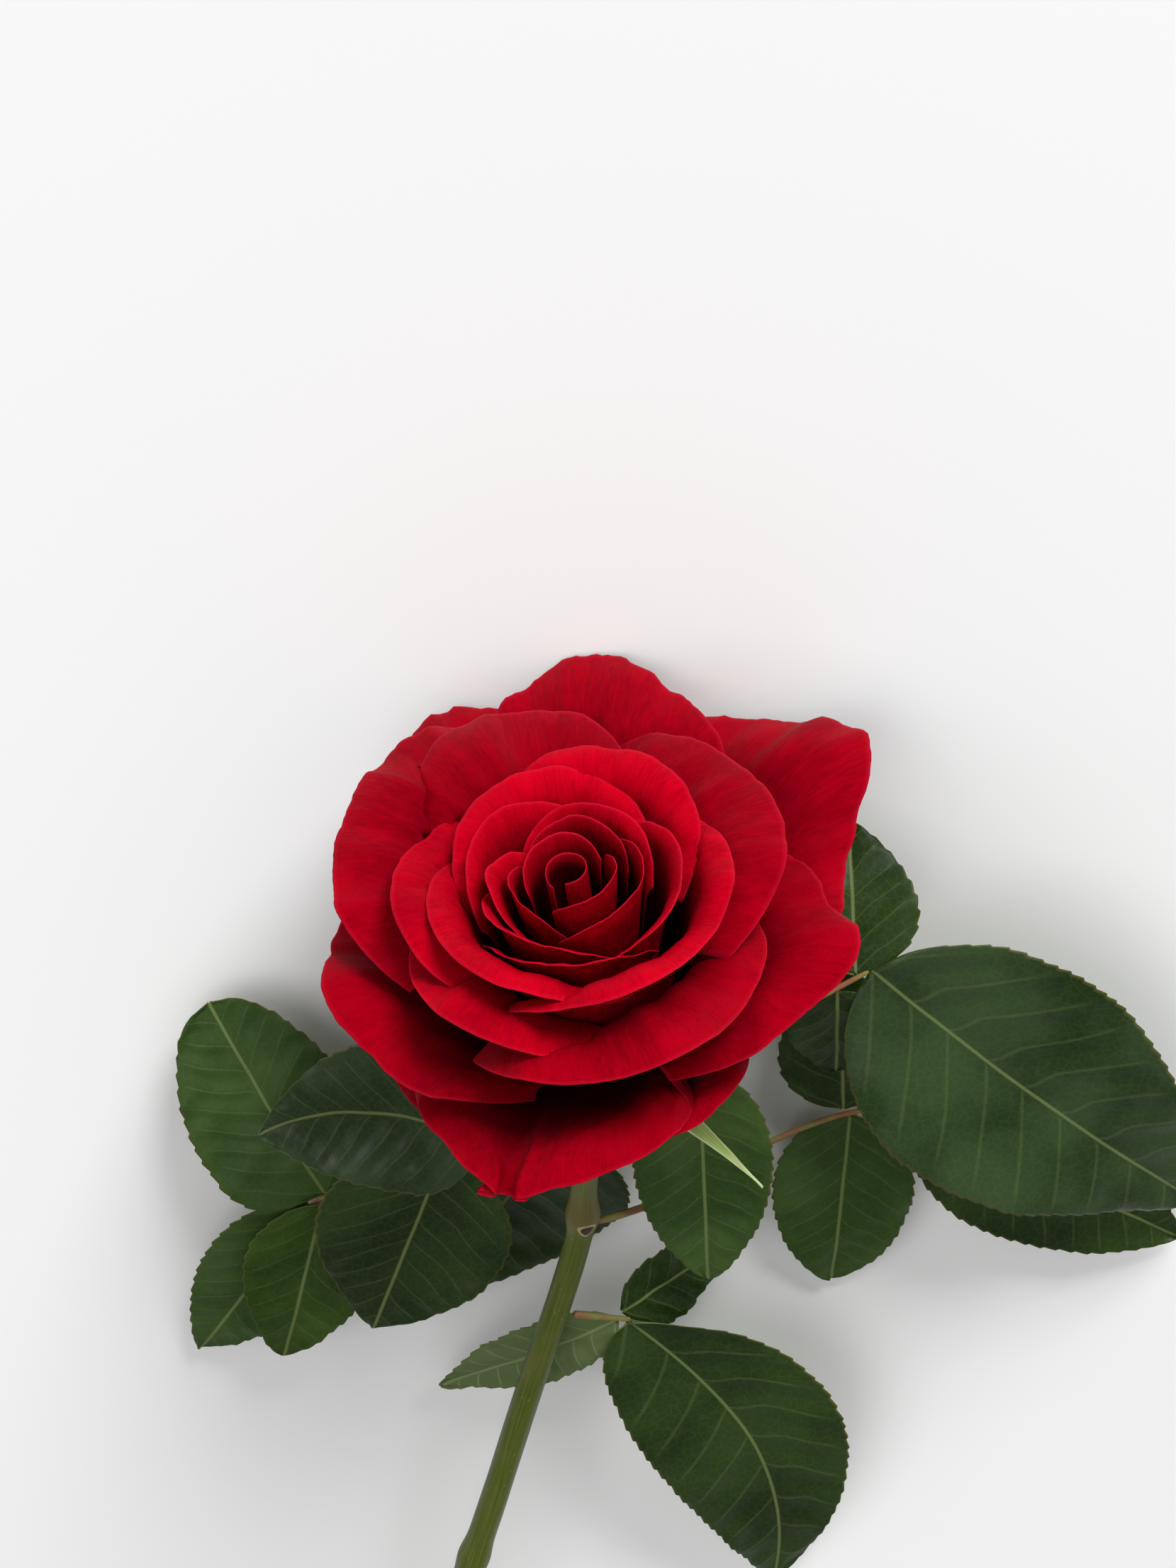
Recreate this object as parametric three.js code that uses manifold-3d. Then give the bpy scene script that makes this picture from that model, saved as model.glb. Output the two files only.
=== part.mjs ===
// A cut red rose lying on a flat surface: an open bloom of overlapping petals on its hip, five sepals,
// a thorny stem with a slanted cut end, and four compound leaves. Millimetres, +Z up. The bloom faces
// +Y and leans up, the stem runs back along -Y, and the origin is under the middle of the whole rose.

import * as THREE from "three";
import Module from "manifold-3d";

// ---------- driving dimensions ----------

const GAP = 0.35; // clearance kept between pieces that touch

const BLOOM = {
  baseHeight: 42, // the foot of the petals above the surface
  heading: 23, // degrees that the bloom turns to the left of +Y
  tilt: 20, // degrees that it leans up
  width: 1, // scale of the petals across the bloom
  depth: 1, // scale of the petals along the bloom's axis
};

const PETAL = {
  footThickness: 0.22,
  bladeThickness: 0.45,
  footRadius: 1.7, // radius at which the innermost petal is rooted
  footStep: 0.19, // each next petal is rooted this much further out
  claw: 0.42, // width of the foot as a share of the blade's
  columnAngle: 17, // widest step round a petal, in degrees
  rows: 6,
};

const HIP = { radius: 8.2, length: 14, neck: 3.5, peak: 6.2 };

const SEPAL = { thickness: 0.5, width: 6.4 };

const STEM = {
  length: 395, // reach of the stem behind the foot of the petals
  topRadius: 2.55,
  endRadius: 3.5,
  sides: 10,
  steps: 26,
  cutSlant: 35, // degrees between the cut face and a square cut
};

const LEAF = { thickness: 0.45, stalkRadius: 0.95, stalkTipRadius: 0.6, stalkSides: 6 };

const COLOURS = {
  petal: 0xb0061a,
  hip: 0x6d8a3c,
  sepal: 0x8fae62,
  stem: 0x5f7a2e,
  stalk: 0x6a5a34,
  leaflet: 0x28452c,
};

// Petals from the heart outwards: direction and half width in degrees, belly and rim radius, height of
// the rim, how far the corners fall, how much the middle of the rim is drawn to a point, how far one side
// stands outside the other, and how much both sides close in.
const PETAL_FIELDS = ["direction", "half", "belly", "rim", "height", "corners", "point", "lean", "cup"];
const PETALS = [
  [60, 168, 3.4, 3.6, 54, 0.02, 0, 0.9, 0],
  [118, 84, 6.2, 8, 55, 0.06, 0, 0.5, 0],
  [322, 80, 6.6, 8.6, 54, 0.06, 0, 0.4, 0],
  [200, 62, 8.6, 11.4, 54.5, 0.1, 0.02, 0.4, 0.04],
  [80, 62, 9.4, 12.4, 54.5, 0.1, 0.01, -0.4, 0.06],
  [338, 82, 10.6, 13.6, 53.5, 0.1, 0, 0.4, 0],
  [178, 60, 11.6, 15.2, 54, 0.12, 0.04, 0.3, 0.04],
  [66, 64, 12.6, 16.6, 53.5, 0.12, 0, -0.4, 0.04],
  [232, 66, 13.6, 17.4, 52.5, 0.14, 0, 0.4, 0.02],
  [132, 62, 15, 20.8, 53.5, 0.14, 0.02, 0.4, 0.06],
  [352, 78, 15.6, 21, 52, 0.14, 0, 0.3, 0.06],
  [262, 60, 16.8, 20.6, 51, 0.14, 0, 0.3, 0],
  [108, 70, 18, 26.8, 53, 0.16, 0.01, 0.4, 0.14],
  [216, 78, 19.4, 27, 50.5, 0.14, 0, 0.2, 0],
  [66, 66, 20.2, 31.4, 52.5, 0.18, 0, 1.5, 0.18],
  [322, 84, 21.4, 29.4, 49.5, 0.16, -0.03, 0.4, 0],
  [170, 64, 22.6, 33.4, 49, 0.2, 0.02, 0, 0.12],
  [224, 58, 24, 34.4, 43.5, 0.2, 0.02, 0.3, 0.04],
  [108, 52, 24.2, 45.4, 50, 0.2, 0, 1.5, 0.2],
  [34, 56, 25.6, 42.6, 48, 0.2, 0, 2.2, 0.06],
  [298, 70, 27.4, 40, 41, 0.2, 0.03, 0, 0.02],
  [148, 48, 28, 48, 44, 0.2, 0, -1.5, 0.08],
  [192, 55, 29.2, 49, 32, 0.2, 0.03, 0, 0.12],
  [252, 58, 30.2, 53, 25, 0.24, 0.1, 0, 0.1],
  [351, 50, 30.6, 51, 33, 0.2, 0.08, 0, 0.14],
  [86, 46, 32, 61, 47, 0.2, 0.03, 0, 0.12],
  [38, 45, 36.4, 69, 37, 0.16, 0.08, 0, 0.1],
  [112, 30, 37, 60, 40, 0.2, 0.02, 0, 0.1],
  [300, 44, 30, 37, 16, 0.2, 0.03, 0, 0.08],
  [206, 42, 32, 40, 16, 0.2, 0.03, 0, 0.08],
].map((row) => Object.fromEntries(PETAL_FIELDS.map((field, i) => [field, row[i]])));

// Sepals: direction round the bloom, how far the tip reaches out, and how far it hangs towards the stem.
const SEPALS = [
  { direction: 319, reach: 30, hang: 12 },
  { direction: 31, reach: 17, hang: 19 },
  { direction: 103, reach: 19, hang: 17 },
  { direction: 175, reach: 15, hang: 22 },
  { direction: 247, reach: 8, hang: 17 },
];

// Bends of the stem's upper part, from the point on the surface below the foot of the petals.
const STEM_BENDS = [
  [7.4, -31, 33.6],
  [11.4, -49, 28.8],
  [13.6, -95, 25],
  [15.4, -142, 21.4],
];
const STEM_NODES = [
  { along: 33, swell: 0.9 },
  { along: 128, swell: 0.6 },
  { along: 214, swell: 0.6 },
  { along: 300, swell: 0.6 },
];

// Prickles: distance down the stem, direction round it in degrees, and height.
const PRICKLES = [
  { along: 146, around: 10, height: 5.2 },
  { along: 171, around: 165, height: 5.6 },
  { along: 196, around: 60, height: 5.0 },
  { along: 238, around: 20, height: 5.8 },
  { along: 262, around: 150, height: 5.4 },
  { along: 287, around: 95, height: 5.2 },
  { along: 326, around: 0, height: 5.6 },
  { along: 352, around: 120, height: 5.4 },
];

// Leaves: distance down the stem where the stalk is rooted, the stalk's bends measured from there, and
// the leaflets. A leaflet is rooted at a share of the stalk's length; heading is counterclockwise from
// +X, pitch is up, arch lifts its middle, fold lifts its edges, sweep bends it sideways, and a leaflet
// with a seat of 1 rests on top of the stalk, or of -1 below it, instead of beside it.
const LEAVES = [
  {
    along: 13,
    stalk: [[-15, -5, -4], [-29, -18, -11], [-47, -43, -20]],
    leaflets: [
      { at: 0.05, heading: -96, pitch: -26, length: 70, width: 46, arch: -4, fold: -0.1 },
      { at: 0.3, heading: 150, pitch: -42, length: 30, width: 21, arch: 2, fold: 0.1 },
      { at: 0.3, heading: -163, pitch: -4, length: 43, width: 35, arch: 3, fold: 0.1, sweep: -8, seat: 1 },
      { at: 0.46, heading: -90, pitch: -6, length: 47, width: 40, arch: 2, fold: 0.05, seat: 1 },
      { at: 0.92, heading: 138, pitch: -11, length: 46, width: 36, arch: 2, fold: 0.1 },
      { at: 0.94, heading: -87, pitch: -6, length: 41, width: 26, arch: 2, fold: 0.1, seat: 1 },
      { at: 1, heading: -104, pitch: -12, length: 50, width: 25, arch: 2, fold: 0.1 },
    ],
  },
  {
    along: 7,
    stalk: [[18, 17, -6], [31, 31, -9], [41, 41, -11]],
    leaflets: [
      { at: 1, heading: -24, pitch: -7, length: 92, width: 55, arch: 4, fold: 0.12 },
      { at: 0.94, heading: 108, pitch: -37, length: 30, width: 26, arch: 1.5, fold: 0.1 },
      { at: 0.88, heading: -72, pitch: -24, length: 28, width: 20, arch: 1, fold: 0 },
      { at: 0.31, heading: -71, pitch: -10, length: 56, width: 28, arch: 2, fold: 0.1 },
      { at: 0.42, heading: 118, pitch: -50, length: 24, width: 18, arch: 2, fold: 0.1 },
    ],
  },
  {
    along: 37,
    stalk: [[16, 3, -12], [32, 18, -17], [47, 30, -19], [60, 35, -20]],
    leaflets: [
      { at: 0.8, heading: 111, pitch: -13, length: 31, width: 26, arch: 1.5, fold: 0.1 },
      { at: 0.82, heading: -77, pitch: -9, length: 45, width: 29, arch: 2, fold: 0.1 },
      { at: 1, heading: -16, pitch: -5, length: 66, width: 34, arch: 2, fold: 0.1 },
    ],
  },
  {
    along: 60,
    stalk: [[8, 0, -2], [16, -0.6, -5]],
    leaflets: [
      { at: 1, heading: -51, pitch: -11, length: 86, width: 41, arch: 4, fold: 0.1, sweep: 11 },
      { at: 0.8, heading: 38, pitch: -34, length: 28, width: 17, arch: 1, fold: 0.1, seat: -1 },
      { at: 0.84, heading: -127, pitch: -18, length: 48, width: 16, arch: 1, fold: 0.1 },
    ],
  },
];

// ---------- small helpers ----------

const radians = THREE.MathUtils.degToRad;
const smooth = (x) => THREE.MathUtils.smoothstep(x, 0, 1);
const mix = THREE.MathUtils.lerp;
const point = ([x, y, z]) => new THREE.Vector3(x, y, z);

function bezier(a, b, c, d, t) {
  const s = 1 - t;
  return s * s * s * a + 3 * s * s * t * b + 3 * s * t * t * c + t * t * t * d;
}

function geometryFrom(vertices, triangles) {
  const geometry = new THREE.BufferGeometry();
  const numbers = vertices.flatMap((v) => v.toArray());
  geometry.setAttribute("position", new THREE.Float32BufferAttribute(numbers, 3));
  geometry.setIndex(triangles.flat());
  geometry.computeVertexNormals();
  return geometry;
}

function mesh(name, geometry, colour, roughness) {
  const material = new THREE.MeshStandardMaterial({ color: colour, roughness, metalness: 0 });
  const made = new THREE.Mesh(geometry, material);
  made.name = name;
  return made;
}

// A closed sheet: a grid of points, grid[row][column], thickened to both sides of its surface.
function sheetGeometry(grid, thicknessAt) {
  const rows = grid.length;
  const columns = grid[0].length;
  const last = (i, n) => Math.min(i + 1, n - 1);
  const first = (i) => Math.max(i - 1, 0);
  const faces = [[], []];
  for (let r = 0; r < rows; r++) {
    for (let c = 0; c < columns; c++) {
      const along = grid[last(r, rows)][c].clone().sub(grid[first(r)][c]);
      const across = grid[r][last(c, columns)].clone().sub(grid[r][first(c)]);
      const normal = across.cross(along).normalize().multiplyScalar(thicknessAt(r / (rows - 1)) / 2);
      faces[0].push(grid[r][c].clone().add(normal));
      faces[1].push(grid[r][c].clone().sub(normal));
    }
  }
  const top = (r, c) => r * columns + c;
  const bottom = (r, c) => rows * columns + r * columns + c;
  const triangles = [];
  const quad = (a, b, c, d) => triangles.push([a, b, c], [a, c, d]);
  for (let r = 0; r < rows - 1; r++) {
    for (let c = 0; c < columns - 1; c++) {
      quad(top(r, c), top(r, c + 1), top(r + 1, c + 1), top(r + 1, c));
      quad(bottom(r, c), bottom(r + 1, c), bottom(r + 1, c + 1), bottom(r, c + 1));
    }
    quad(top(r + 1, 0), bottom(r + 1, 0), bottom(r, 0), top(r, 0));
    quad(top(r, columns - 1), bottom(r, columns - 1), bottom(r + 1, columns - 1), top(r + 1, columns - 1));
  }
  for (let c = 0; c < columns - 1; c++) {
    quad(top(0, c), bottom(0, c), bottom(0, c + 1), top(0, c + 1));
    quad(top(rows - 1, c + 1), bottom(rows - 1, c + 1), bottom(rows - 1, c), top(rows - 1, c));
  }
  return geometryFrom([...faces[0], ...faces[1]], triangles);
}

// A closed rod: rings of points joined in order, each end closed by a fan from its middle.
function rodGeometry(rings) {
  const sides = rings[0].length;
  const vertices = rings.flat();
  const triangles = [];
  for (let r = 0; r < rings.length - 1; r++) {
    for (let s = 0; s < sides; s++) {
      const next = (s + 1) % sides;
      const [a, b] = [r * sides + s, r * sides + next];
      triangles.push([a, b, b + sides], [a, b + sides, a + sides]);
    }
  }
  for (const [ring, turn] of [[0, true], [rings.length - 1, false]]) {
    const middle = vertices.length;
    const centre = rings[ring].reduce((sum, v) => sum.add(v), new THREE.Vector3());
    vertices.push(centre.divideScalar(sides));
    for (let s = 0; s < sides; s++) {
      const a = ring * sides + s;
      const b = ring * sides + ((s + 1) % sides);
      triangles.push(turn ? [middle, b, a] : [middle, a, b]);
    }
  }
  return geometryFrom(vertices, triangles);
}

// Rings of a round rod along a curve; radiusAt gives the radius at a share of its length.
function ringsAlong(curve, steps, sides, radiusAt) {
  const frames = curve.computeFrenetFrames(steps, false);
  return Array.from({ length: steps + 1 }, (_, i) => {
    const centre = curve.getPointAt(i / steps);
    const radius = radiusAt(i / steps);
    return Array.from({ length: sides }, (_, s) => {
      const angle = (s / sides) * 2 * Math.PI;
      return centre.clone()
        .addScaledVector(frames.normals[i], radius * Math.cos(angle))
        .addScaledVector(frames.binormals[i], radius * Math.sin(angle));
    });
  });
}

// ---------- bloom ----------

// Height of the hip's domed top, on which the petals are rooted, at a radius.
const hipTop = (radius) => HIP.peak * (1 - (radius / HIP.radius) ** 2);

function petalPoint(petal, order, u, v) {
  const foot = PETAL.footRadius + PETAL.footStep * order;
  const footHeight = hipTop(foot) + GAP + 0.3;
  const belly = petal.belly * BLOOM.width;
  const rim = petal.rim * BLOOM.width;
  const height = petal.height * BLOOM.depth;
  const point = 1 - Math.exp(-((u / 0.25) ** 2));
  const t = v * (1 - petal.point * point - petal.corners * Math.abs(u) ** 3);
  const closing = 1 - petal.cup * u * u * v * v;
  const radius = bezier(foot, mix(foot, belly, 0.62), belly, rim, t) * closing + petal.lean * u * v;
  const up = bezier(footHeight, mix(footHeight, height, 0.12), height * 0.6, height, t);
  const spread = PETAL.claw + (1 - PETAL.claw) * smooth(v / 0.5);
  const angle = radians(petal.direction + u * petal.half * spread);
  return new THREE.Vector3(radius * Math.cos(angle), radius * Math.sin(angle), up);
}

function petalMesh(petal, order) {
  const columns = Math.max(6, Math.ceil((2 * petal.half) / PETAL.columnAngle));
  const grid = [];
  for (let r = 0; r < PETAL.rows; r++) {
    const row = [];
    for (let c = 0; c <= columns; c++) {
      row.push(petalPoint(petal, order, (2 * c) / columns - 1, r / (PETAL.rows - 1)));
    }
    grid.push(row);
  }
  const thickness = (v) => mix(PETAL.footThickness, PETAL.bladeThickness, smooth(v / 0.4));
  const name = "petal_" + String(order + 1).padStart(2, "0");
  return mesh(name, sheetGeometry(grid, thickness), COLOURS.petal, 0.62);
}

// The hip: a small cup that narrows to the stem, with the dome that carries the petals on top.
function hipMesh() {
  const profile = [new THREE.Vector2(0, -HIP.length)];
  for (let i = 0; i <= 5; i++) {
    const t = i / 5;
    const radius = mix(HIP.neck, HIP.radius, Math.sin((t * Math.PI) / 2));
    profile.push(new THREE.Vector2(radius, mix(-HIP.length, -0.8, t)));
  }
  for (let i = 0; i < 4; i++) {
    const radius = HIP.radius * (1 - i / 4);
    profile.push(new THREE.Vector2(radius, hipTop(radius)));
  }
  profile.push(new THREE.Vector2(0, HIP.peak));
  const geometry = new THREE.LatheGeometry(profile, 18).rotateX(Math.PI / 2);
  return mesh("hip", geometry, COLOURS.hip, 0.6);
}

function sepalMesh(sepal, index) {
  const rows = 7;
  const outward = point([Math.cos(radians(sepal.direction)), Math.sin(radians(sepal.direction)), 0]);
  const sideways = point([-outward.y, outward.x, 0]);
  const root = HIP.radius + GAP + SEPAL.thickness / 2;
  const rootHeight = -1.6;
  const grid = [];
  for (let r = 0; r < rows; r++) {
    const t = r / (rows - 1);
    const radius = bezier(root, root + sepal.reach * 0.2, root + sepal.reach * 0.7, root + sepal.reach, t);
    const up = rootHeight - bezier(0, sepal.hang * 0.1, sepal.hang * 0.45, sepal.hang, t);
    const half = (SEPAL.width / 2) * Math.max(0.06, Math.cos((t * Math.PI) / 2) ** 0.8);
    grid.push([-1, 0, 1].map((w) =>
      outward.clone().multiplyScalar(radius)
        .addScaledVector(sideways, w * half)
        .setZ(up - 0.12 * half * Math.abs(w))));
  }
  return mesh("sepal_" + (index + 1), sheetGeometry(grid, () => SEPAL.thickness), COLOURS.sepal, 0.6);
}

function bloomGroup() {
  const bloom = new THREE.Group();
  const heading = radians(BLOOM.heading);
  const tilt = radians(BLOOM.tilt);
  const right = point([Math.cos(heading), Math.sin(heading), 0]);
  const level = Math.cos(tilt);
  const axis = point([-Math.sin(heading) * level, Math.cos(heading) * level, Math.sin(tilt)]);
  const matrix = new THREE.Matrix4().makeBasis(right, axis.clone().cross(right), axis);
  bloom.quaternion.setFromRotationMatrix(matrix);
  bloom.position.set(0, 0, BLOOM.baseHeight);
  bloom.add(hipMesh(), ...SEPALS.map(sepalMesh), ...PETALS.map(petalMesh));
  return { bloom, axis };
}

// ---------- stem ----------

const solids = await Module();
solids.setup();

function solidFrom(geometry) {
  return new solids.Manifold(new solids.Mesh({
    numProp: 3,
    vertProperties: geometry.getAttribute("position").array,
    triVerts: new Uint32Array(geometry.index.array),
  }));
}

function geometryOf(solid) {
  const { vertProperties, triVerts } = solid.getMesh();
  const geometry = new THREE.BufferGeometry();
  geometry.setAttribute("position", new THREE.BufferAttribute(vertProperties, 3));
  geometry.setIndex(new THREE.BufferAttribute(triVerts, 1));
  return geometry;
}

function stemCurve(axis) {
  const top = axis.clone().multiplyScalar(-HIP.length - GAP).setZ(
    BLOOM.baseHeight - axis.z * (HIP.length + GAP),
  );
  const neck = top.clone().addScaledVector(axis, -5);
  const end = point([6, -STEM.length, STEM.endRadius]);
  const last = point(STEM_BENDS.at(-1));
  const tail = [0.35, 0.7].map((t) => last.clone().lerp(end, t).add(point([1.5, 0, 0])));
  return new THREE.CatmullRomCurve3([top, neck, ...STEM_BENDS.map(point), ...tail, end]);
}

function stemRadius(curve, share) {
  const along = share * curve.getLength();
  const swelling = STEM_NODES.reduce(
    (sum, node) => sum + node.swell * Math.exp(-(((along - node.along) / 4) ** 2)), 0);
  return mix(STEM.topRadius, STEM.endRadius, share) + swelling;
}

// A frame on the stem: its middle, its direction, the side that faces +X and the side that faces up.
function stemFrame(curve, along) {
  const share = along / curve.getLength();
  const centre = curve.getPointAt(share);
  const direction = curve.getTangentAt(share);
  const side = direction.clone().cross(point([0, 0, 1])).normalize().negate();
  const up = side.clone().cross(direction).normalize();
  return { centre, direction, side: up.z < 0 ? side.negate() : side, up: up.z < 0 ? up.negate() : up,
    radius: stemRadius(curve, share) };
}

// A prickle: a flat cone, wide along the stem, whose tip hooks back towards the cut end.
function prickleSolid(curve, prickle) {
  const { centre, direction, side, up, radius } = stemFrame(curve, prickle.along);
  const angle = radians(prickle.around);
  const outward = side.clone().multiplyScalar(Math.cos(angle)).addScaledVector(up, Math.sin(angle));
  const across = outward.clone().cross(direction).normalize();
  const steps = 4;
  const rings = [];
  for (let i = 0; i < steps; i++) {
    const t = i / (steps - 1);
    const size = 1 - 0.93 * t ** 0.8;
    const middle = centre.clone()
      .addScaledVector(outward, radius - 0.8 + (prickle.height + 0.8) * t)
      .addScaledVector(direction, 1.6 * t * t);
    rings.push(Array.from({ length: 8 }, (_, s) => {
      const a = (s / 8) * 2 * Math.PI;
      return middle.clone()
        .addScaledVector(direction, 2.9 * size * Math.cos(a))
        .addScaledVector(across, 1.0 * size * Math.sin(a));
    }));
  }
  const solid = solidFrom(rodGeometry(rings));
  return solid.volume() > 0 ? solid : solidFrom(rodGeometry(rings.reverse()));
}

function stemMesh(curve) {
  const rings = ringsAlong(curve, STEM.steps, STEM.sides, (share) => stemRadius(curve, share));
  const slant = Math.tan(radians(STEM.cutSlant));
  for (const corner of rings.at(-1)) corner.y -= (corner.z - STEM.endRadius) * slant;
  let solid = solidFrom(rodGeometry(rings));
  for (const prickle of PRICKLES) {
    if (prickle.along < curve.getLength() - 8) solid = solid.add(prickleSolid(curve, prickle));
  }
  return mesh("stem", geometryOf(solid), COLOURS.stem, 0.55);
}

// ---------- leaves ----------

// Points of an oval leaflet with a drawn-out tip, from its foot.
function leafletGrid(leaflet, foot) {
  const rows = 8;
  const columns = 5;
  const heading = radians(leaflet.heading);
  const pitch = radians(leaflet.pitch);
  const level = Math.cos(pitch);
  const along = point([Math.cos(heading) * level, Math.sin(heading) * level, Math.sin(pitch)]);
  const across = point([-Math.sin(heading), Math.cos(heading), 0]);
  const up = along.clone().cross(across);
  const grid = [];
  for (let r = 0; r < rows; r++) {
    const t = r / (rows - 1);
    const half = (leaflet.width / 2) * Math.max(0.03, Math.sin(Math.PI * t ** 0.72) ** 0.8);
    const crown = 4 * t * (1 - t);
    grid.push(Array.from({ length: columns }, (_, c) => {
      const w = (2 * c) / (columns - 1) - 1;
      return foot.clone()
        .addScaledVector(along, leaflet.length * t)
        .addScaledVector(across, w * half + (leaflet.sweep ?? 0) * crown)
        .addScaledVector(up, leaflet.arch * crown + leaflet.fold * half * Math.abs(w));
    }));
  }
  return { grid, along };
}

function leafMeshes(leaf, index, curve) {
  const { centre, radius, direction } = stemFrame(curve, leaf.along);
  const bends = leaf.stalk.map((bend) => centre.clone().add(point(bend)));
  const outward = bends[0].clone().sub(centre).normalize();
  const sine = outward.clone().cross(direction).length();
  const clearance = (radius + GAP + LEAF.stalkRadius * 0.5) / sine + 0.4;
  const root = centre.clone().addScaledVector(outward, clearance);
  const stalk = new THREE.CatmullRomCurve3([root, ...bends]);
  const stalkRadius = (share) => mix(LEAF.stalkRadius, LEAF.stalkTipRadius, share);
  const name = "leaf_" + (index + 1);
  const rings = ringsAlong(stalk, 9, LEAF.stalkSides, stalkRadius);
  const meshes = [mesh(name + "_stalk", rodGeometry(rings), COLOURS.stalk, 0.6)];
  leaf.leaflets.forEach((leaflet, i) => {
    const joint = stalk.getPointAt(leaflet.at);
    const { along } = leafletGrid(leaflet, joint);
    const seat = leaflet.seat ?? 0;
    const clear = leaflet.at < 1 ? stalkRadius(leaflet.at) * 1.15 + GAP : GAP + 0.1;
    const foot = joint.addScaledVector(along, clear).setZ(joint.z + seat * (clear + LEAF.thickness / 2));
    const { grid } = leafletGrid(leaflet, foot);
    const geometry = sheetGeometry(grid, () => LEAF.thickness);
    meshes.push(mesh(name + "_leaflet_" + (i + 1), geometry, COLOURS.leaflet, 0.5));
  });
  return meshes;
}

// ---------- the rose ----------

const rose = new THREE.Group();
const { bloom, axis } = bloomGroup();
const curve = stemCurve(axis);
rose.add(bloom, stemMesh(curve));
LEAVES.forEach((leaf, i) => rose.add(...leafMeshes(leaf, i, curve)));

// Its lowest point rests on the surface, and the origin is under the middle of its box.
rose.updateMatrixWorld(true);
const box = new THREE.Box3().setFromObject(rose, true);
const middle = box.getCenter(new THREE.Vector3());
rose.position.set(-middle.x, -middle.y, -box.min.z);

export default rose;
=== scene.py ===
"""A cut red rose that lies on a pale table: its fine surfaces, finishes, light and camera.

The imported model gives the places. Shapes are worked out in millimetres and made in metres.
"""

import math

import bpy
import numpy as np
from mathutils import Matrix
from mathutils.bvhtree import BVHTree


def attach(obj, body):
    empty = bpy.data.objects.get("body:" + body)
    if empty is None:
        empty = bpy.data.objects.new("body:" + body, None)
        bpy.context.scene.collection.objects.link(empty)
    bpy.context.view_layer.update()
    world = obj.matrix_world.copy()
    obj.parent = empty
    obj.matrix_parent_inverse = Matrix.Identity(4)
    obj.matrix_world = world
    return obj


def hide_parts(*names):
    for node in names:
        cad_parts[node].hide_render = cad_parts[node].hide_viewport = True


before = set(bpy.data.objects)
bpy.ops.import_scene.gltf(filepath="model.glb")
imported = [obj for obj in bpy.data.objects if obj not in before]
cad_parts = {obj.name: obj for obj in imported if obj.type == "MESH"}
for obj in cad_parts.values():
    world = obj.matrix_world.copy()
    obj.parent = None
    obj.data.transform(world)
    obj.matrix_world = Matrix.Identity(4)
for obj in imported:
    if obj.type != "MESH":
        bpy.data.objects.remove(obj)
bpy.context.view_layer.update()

# ---------- sizes, in millimetres and degrees ----------

MM = 0.001
GAP = 0.35
BLOOM = {"heading": 23, "tilt": 20, "base_height": 42}
PETAL = {
    "foot_radius": 1.7,  # where the innermost petal is rooted
    "foot_step": 0.19,  # how much further out each next one is rooted
    "foot_gap": 0.3,  # extra room between a foot and the hip
    "claw": 0.42,  # width of the foot as a share of the blade's
    "foot": 0.24,  # thickness of the foot
    "blade": 0.42,  # thickness of the blade
    "edge": 0.16,  # thickness along the rim and the sides
    "clear": 0.55,  # room kept outside the petals within
    "least_columns": 24,
    "columns_per_degree": 0.55,
    "rows": 44,
    "usual_rim": 50,  # rim radius for which streaks and swells are given
    "streak": 0.22,  # how far the fine lengthwise streaks stand out
    "swell": 0.6,  # how far the broad swells stand out
}
HIP = {
    "radius": 8.2,
    "length": 14,
    "neck": 3.5,
    "peak": 6.2,
    "shoulder": 0.8,  # how far below the rim of its top the hip is widest
    "ribs": 5,
    "rib": 0.015,  # how far a rib stands out, as a share of the radius
    "rows": 40,
    "columns": 48,
}
SEPAL = {
    "thickness": 0.5,
    "width": 6.4,
    "tip": 0.06,  # width of the tip as a share of the widest
    "drop": 1.6,  # how far below the foot of the petals it is rooted
    "rows": 60,
    "columns": 15,
}
STEM = {
    "length": 395,
    "top_radius": 2.55,
    "end_radius": 3.5,
    "cut_slant": 35,
    "cut_reach": 9,  # length over which the slant of the cut face sets in
    "cut_dish": 0.25,  # how far the middle of the cut face is hollowed
    "node_length": 4,
    "ridge": 0.06,  # height of the five faint lengthwise ridges
    "points": 620,
    "sides": 36,
}
PRICKLE = {
    "length": 2.9,  # half the length of its foot, along the stem
    "width": 1.0,  # half the width of its foot
    "hook": 1.6,  # how far the tip leans down the stem
    "sunk": 0.8,  # how deep the foot sits in the bark
    "sides": 20,
    "steps": 16,
}
SCAR = {
    "below_node": 1.5,
    "side": 0.35,  # how much it faces sideways
    "up": 0.94,  # how much it faces up
    "width": 1.5,
    "length": 1.5,
    "narrowing": 0.35,
    "rim": 1.6,  # size of its pale rim as a share of the wedge
    "depth": 3,
}
LEAFLET = {
    "tooth": 3.1,  # length of the edge for each tooth
    "tooth_depth": 0.62,
    "tooth_rows": 5,
    "columns": 29,
    "vein_gap": 5.0,  # least distance between side veins
    "veins": 9,  # most side veins on a side
    "vein_step": 0.4,  # how far the two sides are out of step, as a share of the gap
    "quilt": 0.22,  # how far the blade bulges between the veins
    "groove": 0.3,  # depth of the groove above the midrib
    "groove_width": 1.1,
    "sag": 0.8,
    "blade": 0.4,
    "edge": 0.14,
    "rib": 0.5,  # how far the midrib thickens the blade
    "rib_width": 0.6,
}

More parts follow.
